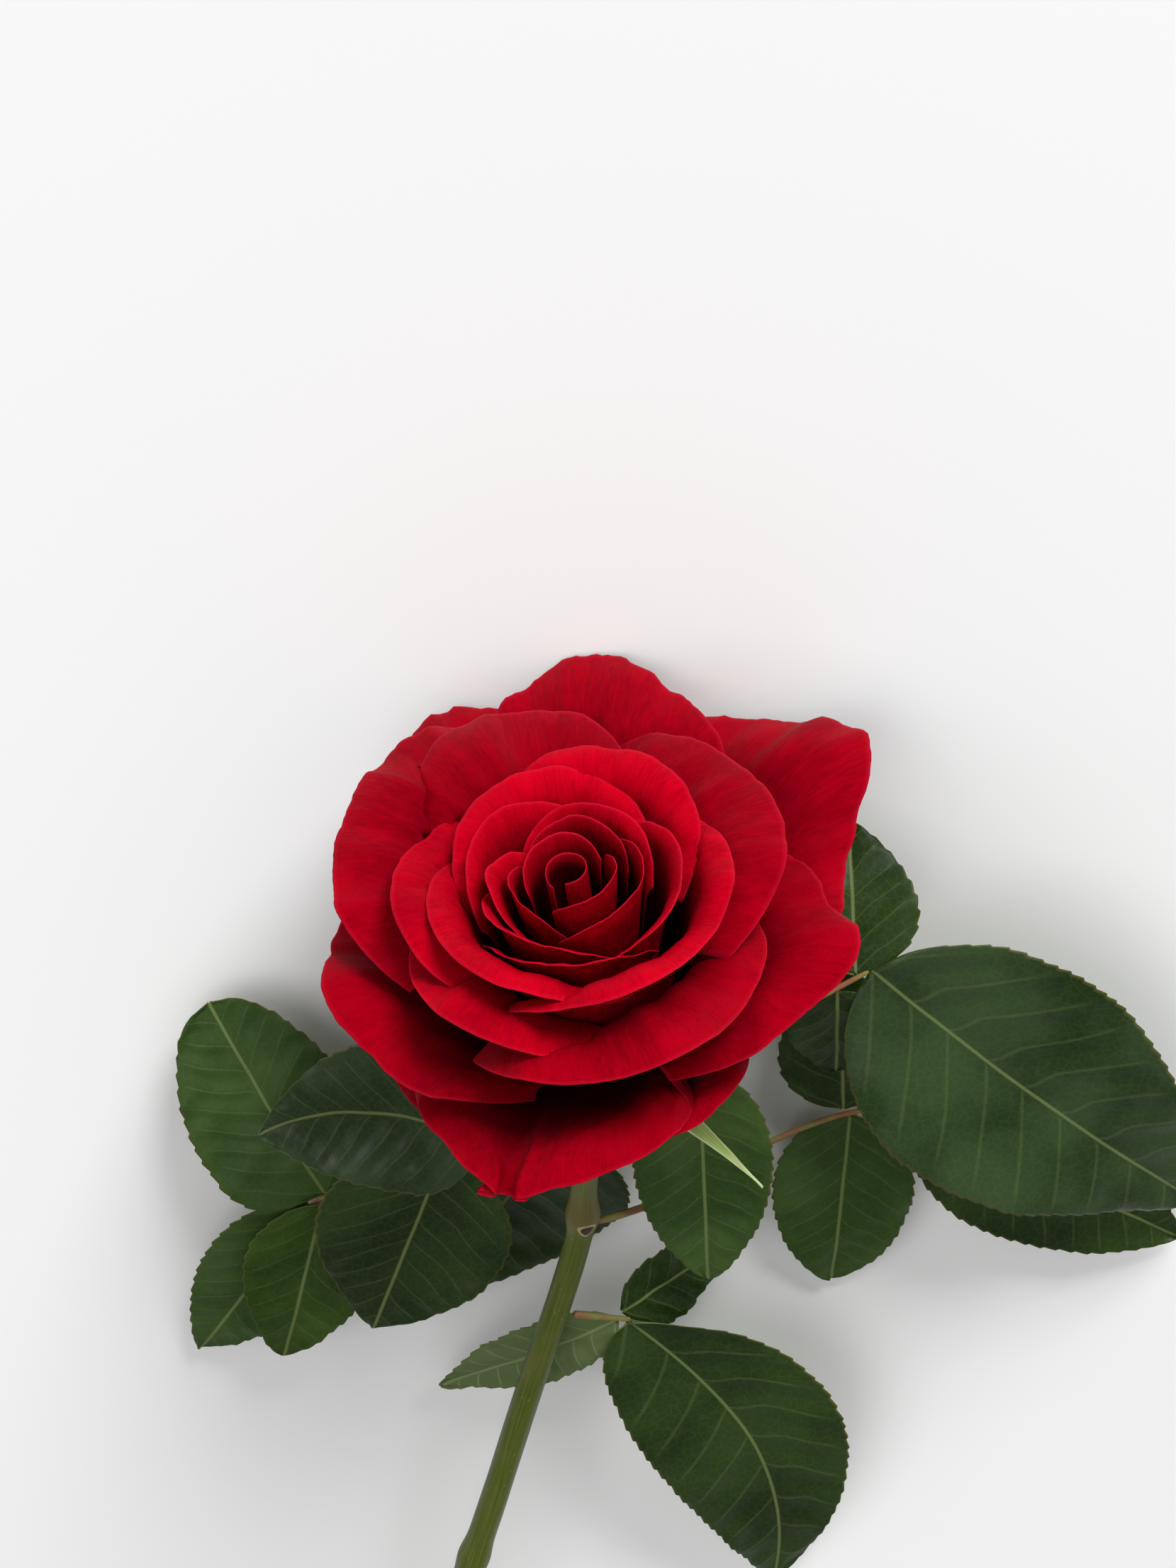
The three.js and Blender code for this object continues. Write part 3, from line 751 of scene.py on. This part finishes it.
def make_petal(row, order):
    petal = dict(zip(PETAL_FIELDS, row))
    ring = next(dict(zip(RING_FIELDS, r)) for r in RINGS if order < r[0])
    columns = int(PETAL["least_columns"] + petal["half"] * PETAL["columns_per_degree"])
    columns = columns * 2 if order + 1 in EDGES else columns
    u, s = np.meshgrid(np.linspace(-1, 1, columns), np.linspace(0, 1, PETAL["rows"]))
    v = 1 - (1 - s) ** 1.35
    points = petal_surface(petal, order, u, v)
    points = lip_rolled(ring, order, u, v, points)
    points = petal_detail(petal, ring, order, u, v, points)
    points = nest.pushed_out(points, v)
    edge = np.minimum(smooth((1 - v) / 0.05), smooth((1 - abs(u)) / 0.08))
    thickness = mix(PETAL["edge"], mix(PETAL["foot"], PETAL["blade"], smooth(v / 0.4)), edge)
    shell, faces = closed_sheet(points, thickness)
    nest.add(shell, faces)
    name = f"petal_{order + 1:02d}"
    width = petal["rim"] * math.radians(petal["half"]) * MM
    inner = np.concatenate([np.zeros(u.size), np.ones(u.size)])
    # painted highlight: 1 along the rim and the sides, fading within a narrow band
    hem = 1 - np.minimum(smooth((1 - v) / 0.01), smooth((1 - abs(u)) / 0.02))
    # painted shade, from below the rim down into the bloom
    deep = smooth((1 - v) / ring["dusk"])
    return piece(name + "_blade", shell, faces, velvet, "petal", [name], inner=inner, hem=on_both(hem),
                 across=on_both(u) * width, rise=on_both(v), deep=on_both(deep),
                 tone=np.full(2 * u.size, ring["tone"]))


def make_hip():
    rows, columns = HIP["rows"], HIP["columns"]
    profile = []
    for t in np.linspace(0, 1, rows // 2):
        radius = mix(HIP["neck"], HIP["radius"], math.sin(t * math.pi / 2))
        profile.append((radius, mix(-HIP["length"], -HIP["shoulder"], t)))
    for radius in np.linspace(HIP["radius"], 0.05, rows // 2):
        profile.append((radius, hip_top(radius)))
    radius, height = np.array(profile).T
    angle = round_angles(columns)
    ribs = 1 + HIP["rib"] * np.cos(angle * HIP["ribs"])[None, :]
    x = radius[:, None] * ribs * np.cos(angle)
    y = radius[:, None] * ribs * np.sin(angle)
    z = np.repeat(height[:, None], columns, 1)
    points = in_bloom(x, y, z).reshape(-1, 3)
    across = np.repeat((angle * 8)[None, :], len(profile), 0)
    return piece("hip_skin", points, rod_faces(len(profile), columns), green_skin, "hip", ["hip"],
                 across=across, rise=z, margin=np.zeros_like(z))


def make_sepal(row, index):
    direction, reach, hang = row
    turn = math.radians(direction)
    along, across = np.linspace(0, 1, SEPAL["rows"]), np.linspace(-1, 1, SEPAL["columns"])
    t, w = np.meshgrid(along, across, indexing="ij")
    root = HIP["radius"] + GAP + SEPAL["thickness"] / 2
    radius = bezier(root, root + reach * 0.2, root + reach * 0.7, root + reach, t)
    up = -SEPAL["drop"] - bezier(0, hang * 0.1, hang * 0.45, hang, t)
    half = SEPAL["width"] / 2 * np.maximum(SEPAL["tip"], (1 - t) ** 1.4 * (1 + 1.1 * t))
    up = up - 0.16 * half * w * w + 0.25 * wobble(t * 9 + w, 70 + index) * t
    x = radius * math.cos(turn) - w * half * math.sin(turn)
    y = radius * math.sin(turn) + w * half * math.cos(turn)
    thickness = SEPAL["thickness"] * mix(1, 0.35, abs(w)) * mix(1, 0.6, t)
    shell, faces = closed_sheet(in_bloom(x, y, up), thickness)
    name = f"sepal_{index + 1}"
    return piece(name + "_blade", shell, faces, green_skin, "sepal", [name],
                 across=on_both(w * half), rise=on_both(t * 30), margin=on_both(np.maximum(abs(w), t)))


# ---------- stem ----------

def through(knots, count):
    """Points evenly spaced on a centripetal Catmull-Rom curve through the knots."""
    knots = [np.array(k, float) for k in knots]
    knots = [2 * knots[0] - knots[1], *knots, 2 * knots[-1] - knots[-2]]
    dense = []
    for a, b, c, d in zip(knots, knots[1:], knots[2:], knots[3:]):
        before, middle, after = (np.linalg.norm(q - p) ** 0.5 for p, q in ((a, b), (b, c), (c, d)))
        leave = ((b - a) / before - (c - a) / (before + middle) + (c - b) / middle) * middle
        arrive = ((c - b) / middle - (d - b) / (middle + after) + (d - c) / after) * middle
        for t in np.arange(0, 1, 0.02):
            dense.append(b + leave * t + (3 * (c - b) - 2 * leave - arrive) * t * t
                         + (2 * (b - c) + leave + arrive) * t ** 3)
    dense = np.array([*dense, knots[-2]])
    along = np.concatenate([[0], np.cumsum(np.linalg.norm(np.diff(dense, axis=0), axis=1))])
    wanted = np.linspace(0, along[-1], count)
    return np.stack([np.interp(wanted, along, dense[:, k]) for k in range(3)], 1), wanted


TABLE_FOOT = FOOT - (0, 0, BLOOM["base_height"])
neck = FOOT - AXIS * (HIP["length"] + GAP)
end = TABLE_FOOT + STEM_END
last = TABLE_FOOT + STEM_BENDS[-1]
tail = [mix(last, end, share) + STEM_BOW for share in (0.35, 0.7)]
knots = [neck, neck - AXIS * 5, *[TABLE_FOOT + bend for bend in STEM_BENDS], *tail, end]
CENTRES, ALONG = through(knots, STEM["points"])


def stem_radius(along):
    """The stem's radius at a distance down it, swollen at the nodes."""
    swelling = sum(swell * np.exp(-(((along - place) / STEM["node_length"]) ** 2))
                   for place, swell in STEM_NODES)
    return mix(STEM["top_radius"], STEM["end_radius"], along / ALONG[-1]) + swelling


def stem_place(along):
    """The stem's middle and direction at a distance, its side that faces +X, and its upper side."""
    i = int(np.searchsorted(ALONG, along))
    direction = unit(CENTRES[min(i + 1, len(ALONG) - 1)] - CENTRES[i - 1])
    side = unit(np.cross((0, 0, 1), direction))
    side = side if side[0] > 0 else -side
    up = np.cross(side, direction)
    return CENTRES[i], direction, side, up if up[2] > 0 else -up


def make_stem():
    sides = STEM["sides"]
    uneven = 1 + 0.012 * wobble(ALONG * 0.16, 5)

    def radius_at(i, angles):
        ridge = STEM["ridge"] * np.sin(angles * 5 + ALONG[i] * 0.02)
        return stem_radius(ALONG[i]) * uneven[i] + ridge

    rings = rod(CENTRES, sides, radius_at)
    slant = math.tan(math.radians(STEM["cut_slant"]))
    near_end = smooth(1 - (ALONG[-1] - ALONG) / STEM["cut_reach"])[:, None]
    rings[..., 1] -= near_end * (rings[..., 2] - STEM["end_radius"]) * slant
    angle = round_angles(sides)
    along = np.repeat(ALONG[:, None], sides, 1)
    around = np.repeat(angle[None, :], len(ALONG), 0)
    points = rings.reshape(-1, 3)
    faces = rod_faces(len(ALONG), sides, cap_end=False)
    nothing = np.zeros(len(points))
    paint = {"along": along.ravel(), "around": np.minimum(around, 2 * math.pi - around).ravel(),
             "scar": scar_on_stem(points), "cut": nothing, "prickle": nothing}

    def add_paint(count, **values):
        for title in paint:
            more = np.zeros(count) + values.get(title, 0)
            paint[title] = np.concatenate([paint[title], more])

    # the cut face, as shrinking rings
    edge = rings[-1]
    middle = edge.mean(0)
    base = (len(ALONG) - 1) * sides
    for share in (0.985, 0.9, 0.75, 0.6, 0.4, 0.2, 0.04):
        ring = middle + (edge - middle) * share
        ring = ring + np.array([0, STEM["cut_dish"], 0]) * (1 - share)
        start = len(points)
        for s in range(sides):
            n = (s + 1) % sides
            faces.append((base + s, base + n, start + n, start + s))
        points = np.concatenate([points, ring])
        add_paint(sides, along=ALONG[-1], cut=share)
        base = start
    faces.append(tuple(base + s for s in range(sides)))
    for row in PRICKLES:
        spike, spike_faces, share = prickle_shell(*row)
        faces += [tuple(len(points) + k for k in face) for face in spike_faces]
        points = np.concatenate([points, spike])
        add_paint(len(spike), along=row[0], prickle=share)
    return piece("stem_bark_and_prickles", points, faces, stem_bark, "stem", ["stem"], **paint)


def scar_on_stem(points):
    """How near each point is to the leaf scar, a dark wedge below the topmost node."""
    node = STEM_NODES[0][0]
    centre, direction, side, up = stem_place(node + SCAR["below_node"])
    facing = unit(SCAR["side"] * side + SCAR["up"] * up)
    off = points - (centre + facing * stem_radius(node))
    lengthwise = off @ direction
    crosswise = off @ np.cross(direction, facing)
    width = SCAR["width"] - SCAR["narrowing"] * lengthwise
    wedge = np.sqrt((crosswise / width) ** 2 + (lengthwise / SCAR["length"]) ** 2)
    return np.where(off @ up > -SCAR["depth"], np.clip(SCAR["rim"] - wedge, 0, 1), 0)


def prickle_shell(place, around, height):
    """A hooked, flattened cone with a flared foot, and how near its tip each point is."""
    centre, direction, side, up = stem_place(place)
    radius = stem_radius(np.array(float(place)))
    turn = math.radians(around)
    outward = side * math.cos(turn) + up * math.sin(turn)
    across = np.cross(outward, direction)
    sides, steps, sunk = PRICKLE["sides"], PRICKLE["steps"], PRICKLE["sunk"]
    angles = round_angles(sides)
    rings, share = [], []
    for t in np.linspace(0, 1, steps):
        size = 1 - 0.95 * t ** 0.75 + 0.35 * (1 - t) ** 6
        middle = centre + outward * (radius - sunk + (height + sunk) * t)
        middle = middle + direction * PRICKLE["hook"] * t * t
        rings.append(middle + PRICKLE["length"] * size * np.cos(angles)[:, None] * direction
                     + PRICKLE["width"] * size * np.sin(angles)[:, None] * across)
        share.append(np.full(sides, t))
    points = np.concatenate(rings)
    faces = rod_faces(steps, sides)
    if np.cross(direction, across) @ outward < 0:
        faces = [tuple(reversed(face)) for face in faces]
    return points, faces, np.concatenate(share)


# ---------- leaves ----------

# How each leaflet looks: its finish, how far its edge waves in millimetres, how drawn out its tip is
# (1, or less for a blunt one), and whether it shows its underside.
LEAFLET_LOOKS = {
    "leaf_1_leaflet_1": ("dark", 0.8, 0.9, False),
    "leaf_1_leaflet_3": ("glossy", 1.0, 0.9, False),
    "leaf_1_leaflet_4": ("dark", 0.9, 0.9, False),
    "leaf_1_leaflet_5": ("matt", 1.2, 0.5, False),
    "leaf_1_leaflet_6": ("green", 1.0, 0.9, False),
    "leaf_1_leaflet_7": ("matt", 1.0, 0.9, False),
    "leaf_2_leaflet_1": ("glossy", 1.8, 0.9, False),
    "leaf_2_leaflet_4": ("matt", 0.8, 0.8, False),
    "leaf_3_leaflet_2": ("matt", 0.8, 0.7, False),
    "leaf_4_leaflet_1": ("dark", 1.2, 0.9, False),
    "leaf_4_leaflet_3": ("matt", 0.8, 0.9, True),
}


def outline(t, drawn):
    """Half width of a leaflet as a share of its widest, by the share of its length."""
    return np.maximum(0.03, np.sin(math.pi * np.clip(t, 0, 1) ** 0.72) ** (0.8 * drawn))


def leaflet_lie(node):
    """How a leaflet's solid lies: foot, direction, sideways, up, length, width, bend, arch, fold."""
    points = corners_of(node)
    tip = points[np.argmax(np.linalg.norm(points - points.mean(0), axis=1))]
    foot = points[np.argmax(np.linalg.norm(points - tip, axis=1))]
    for swap in (False, True):
        if swap:
            foot, tip = tip, foot
        along = unit(tip - foot)
        across = unit(np.array([-along[1], along[0], 0]))
        share = (points - foot) @ along / np.linalg.norm(tip - foot)
        off = (points - foot) @ across
        if share[np.argmax(abs(off - off.mean()))] < 0.5:
            break
    up = np.cross(along, across)
    length = np.linalg.norm(tip - foot)
    crown = 4 * share * (1 - share)
    bend = (off @ crown) / (crown @ crown)
    flat = off - bend * crown
    near = abs(share - 0.38) < 0.12
    width = np.ptp(flat[near]) if near.any() else np.ptp(flat)
    lift = (points - foot) @ up
    arch, fold = np.linalg.lstsq(np.stack([crown, abs(flat)], 1), lift, rcond=None)[0]
    return foot, along, across, up, length, width, bend, arch, fold


def make_leaflet(node, index):
    """A toothed, quilted blade in the place of a leaflet's solid."""
    foot, along, across, up, length, width, bend, arch, fold = leaflet_lie(node)
    look, ripple, drawn, turned = LEAFLET_LOOKS.get(node, ("dark", 0.6, 0.9, False))
    teeth = round(length / LEAFLET["tooth"])
    rows, columns = teeth * LEAFLET["tooth_rows"] + 1, LEAFLET["columns"]
    w = np.linspace(-1, 1, columns)
    w = np.sign(w) * (1 - (1 - abs(w)) ** 1.3)
    t, w = np.meshgrid(np.linspace(0, 1, rows), w, indexing="ij")
    half = width / 2 * outline(t, drawn)
    notch = (t * teeth) % 1
    saw = LEAFLET["tooth_depth"] * (notch - 0.55) * smooth(t / 0.12) * smooth((1 - t) / 0.1)
    edge = smooth((abs(w) - 0.72) / 0.28)
    x = w * half + np.sign(w) * saw * edge
    crown = 4 * t * (1 - t)
    reach = abs(x)
    spacing = max(LEAFLET["vein_gap"], length / LEAFLET["veins"])
    slant = 0.95 * reach - 0.4 * reach * reach / width
    rank = (t * length - slant + 0.8 * wobble(t * 7, 900 + index)) / spacing
    rank = rank + LEAFLET["vein_step"] * smooth(x / 8)
    quilt = LEAFLET["quilt"] * np.cos(rank * 2 * math.pi)
    quilt = quilt * smooth(reach / 4) * smooth((1 - abs(w)) / 0.4)
    groove = -LEAFLET["groove"] * np.exp(-((x / LEAFLET["groove_width"]) ** 2))
    waves = ripple * wobble(t * 8 + w * 0.7, 500 + index) * w * w * np.sign(w + 0.001)
    sag = LEAFLET["sag"] * wobble(t * 4 + w * 1.4, 600 + index)
    z = arch * crown + fold * half * abs(w) + quilt + groove + waves + sag * smooth(t / 0.2)
    grid = (foot + (t * length)[..., None] * along + (x + bend * crown)[..., None] * across
            + z[..., None] * up)
    rib = LEAFLET["rib"] * np.exp(-((x / LEAFLET["rib_width"]) ** 2)) * (1 - 0.75 * t)
    thickness = mix(LEAFLET["blade"], LEAFLET["edge"], smooth((abs(w) - 0.9) / 0.1)) + rib
    shell, faces = closed_sheet(grid, thickness)
    upward = grid_normals(grid)[rows // 3, columns // 2] @ up > 0
    first_under = upward == turned
    under = np.repeat([float(first_under), float(not first_under)], t.size)
    return piece(node + "_blade", shell, faces, LEAF_FINISHES[look], "leaflet", [node],
                 across=on_both(x), rank=on_both(rank), margin=on_both(abs(w)), under=under)


def make_stalk(node):
    """A leaf's stalk, rounded from its solid."""
    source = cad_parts[node].data
    mesh = source.copy()
    mesh.name = node + "_skin"
    mesh.materials.clear()
    mesh.materials.append(stalk_skin)
    made = bpy.data.objects.new(node + "_skin", mesh)
    bpy.context.scene.collection.objects.link(made)
    weld = made.modifiers.new("weld", "WELD")
    weld.merge_threshold = 0.00002
    rounding = made.modifiers.new("rounding", "SUBSURF")
    rounding.levels = rounding.render_levels = 2
    bpy.context.view_layer.update()
    rounded = made.evaluated_get(bpy.context.evaluated_depsgraph_get())
    smooth_mesh = bpy.data.meshes.new_from_object(rounded)
    made.modifiers.clear()
    made.data = smooth_mesh
    smooth_mesh.polygons.foreach_set("use_smooth", [True] * len(smooth_mesh.polygons))
    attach(made, "root")
    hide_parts(node)
    return made


# ---------- the rose ----------

for order, row in enumerate(PETALS):
    make_petal(row, order)
make_hip()
for index, row in enumerate(SEPALS):
    make_sepal(row, index)
make_stem()
leaf_nodes = sorted(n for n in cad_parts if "leaflet" in n)
for index, node in enumerate(leaf_nodes):
    make_leaflet(node, index)
for node in sorted(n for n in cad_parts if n.endswith("stalk")):
    make_stalk(node)


# ---------- table, light and camera ----------

# The camera, and the point it looks at: along the bloom's axis from its foot, then across and up.
EYE = {"elevation": 62, "turn": 17, "distance": 803, "lens": 100, "sensor": 36}
AIM = {"along_axis": 40, "across": 2.2, "up": 24.6}
TABLE_REACH = 4000
DAYLIGHT = 0.4

# Square soft lamps: their direction as shares of the camera's right, up and backward directions, then
# distance, size and power.
LAMPS = {
    "key": (0.4, 0.7, 0.95, 6000, 2400, 360),
    "fill": (-0.5, -0.35, 1.0, 3000, 2400, 30),
    "sky": (0.1, 1.4, 0.7, 6000, 2600, 40),
}


def view_basis():
    """The camera's right, up and backward directions."""
    rise, turn = math.radians(EYE["elevation"]), math.radians(EYE["turn"])
    right = np.array([math.cos(turn), math.sin(turn), 0])
    level = np.array([-math.sin(turn), math.cos(turn), 0])
    back = math.cos(rise) * level + math.sin(rise) * np.array([0, 0, 1])
    return right, np.cross(back, right), back


VIEW_RIGHT, VIEW_UP, VIEW_BACK = view_basis()


def placed(made, point, right, up, back):
    """Puts a camera or a lamp at a point, with its own three directions."""
    turned = np.eye(4)
    turned[:3, :3] = np.stack([right, up, back], 1)
    turned[:3, 3] = np.array(point) * MM
    made.matrix_world = Matrix(turned.tolist())
    bpy.context.scene.collection.objects.link(made)


def make_camera():
    """Makes the camera and gives the point it looks at."""
    aim = FOOT + AXIS * AIM["along_axis"] + VIEW_RIGHT * AIM["across"] + VIEW_UP * AIM["up"]
    data = bpy.data.cameras.new("camera")
    data.lens, data.sensor_width = EYE["lens"], EYE["sensor"]
    data.clip_start, data.clip_end = 0.01, 10
    camera = bpy.data.objects.new("camera", data)
    placed(camera, aim + VIEW_BACK * EYE["distance"], VIEW_RIGHT, VIEW_UP, VIEW_BACK)
    bpy.context.scene.camera = camera
    return aim


def make_lamp(name, aim, right, up, back, distance, size, power):
    """Makes a lamp that faces the aim, with the values of one row of LAMPS."""
    data = bpy.data.lights.new(name, "AREA")
    data.size, data.energy = size * MM, power
    away = unit(VIEW_RIGHT * right + VIEW_UP * up + VIEW_BACK * back)
    side = unit(np.cross((0, 1, 0.01), away))
    lamp = bpy.data.objects.new(name, data)
    placed(lamp, aim + away * distance, side, np.cross(away, side), away)


def make_table():
    reach = TABLE_REACH
    corners = [(-reach, -reach, 0), (reach, -reach, 0), (reach, reach, 0), (-reach, reach, 0)]
    mesh = bpy.data.meshes.new("table")
    mesh.from_pydata([[c * MM for c in corner] for corner in corners], [], [(0, 1, 2, 3)])
    mesh.materials.append(table_top)
    table = bpy.data.objects.new("table", mesh)
    bpy.context.scene.collection.objects.link(table)


aim = make_camera()
make_table()
for name, lamp in LAMPS.items():
    make_lamp(name, aim, *lamp)

world = bpy.data.worlds.new("studio")
world.use_nodes = True
backdrop = world.node_tree.nodes["Background"].inputs
backdrop["Color"].default_value = (1, 1, 1, 1)
backdrop["Strength"].default_value = DAYLIGHT
bpy.context.scene.world = world
bpy.context.scene.view_settings.view_transform = "Standard"
bpy.context.scene.view_settings.look = "None"
